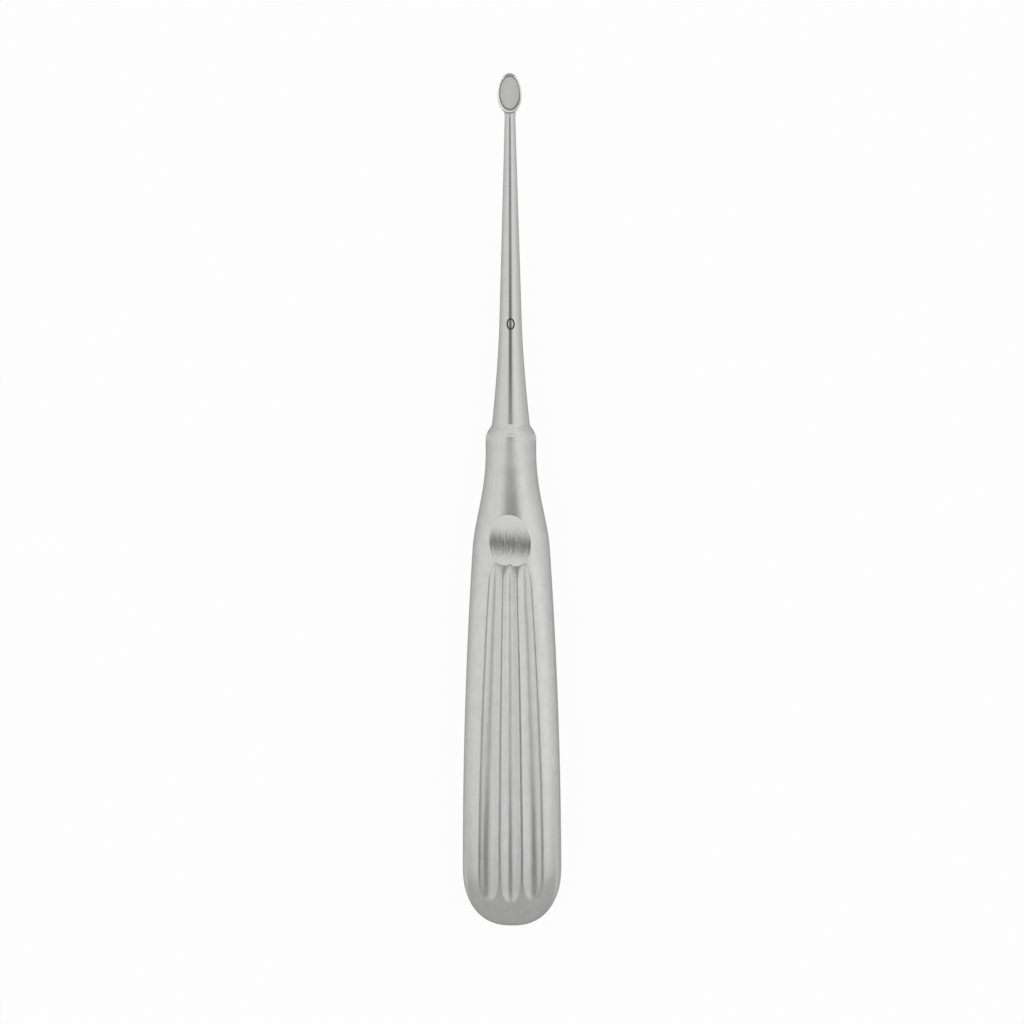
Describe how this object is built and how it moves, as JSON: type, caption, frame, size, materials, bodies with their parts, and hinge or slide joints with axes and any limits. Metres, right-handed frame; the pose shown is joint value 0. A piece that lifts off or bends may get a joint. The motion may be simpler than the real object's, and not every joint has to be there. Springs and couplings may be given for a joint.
{
  "type": "bone curette",
  "caption": "Surgical bone curette: a small oval sharp spoon on a long tapered shank, set in a flat, fluted steel handle with a thumb rest.",
  "frame": {"origin": "middle of the footprint, on the surface that the instrument lies on", "axes": "+Y from the butt of the handle to the spoon, +Z out of the front of the handle and of the spoon's mouth"},
  "size_m": [0.0196, 0.17, 0.0111],
  "materials": {
    "handle_steel": "satin",
    "shank_steel": "satin, with a polished cutting edge"
  },
  "bodies": {
    "root": {"handle": "handle_steel", "spoon_shank": "shank_steel"}
  },
  "joints": []
}
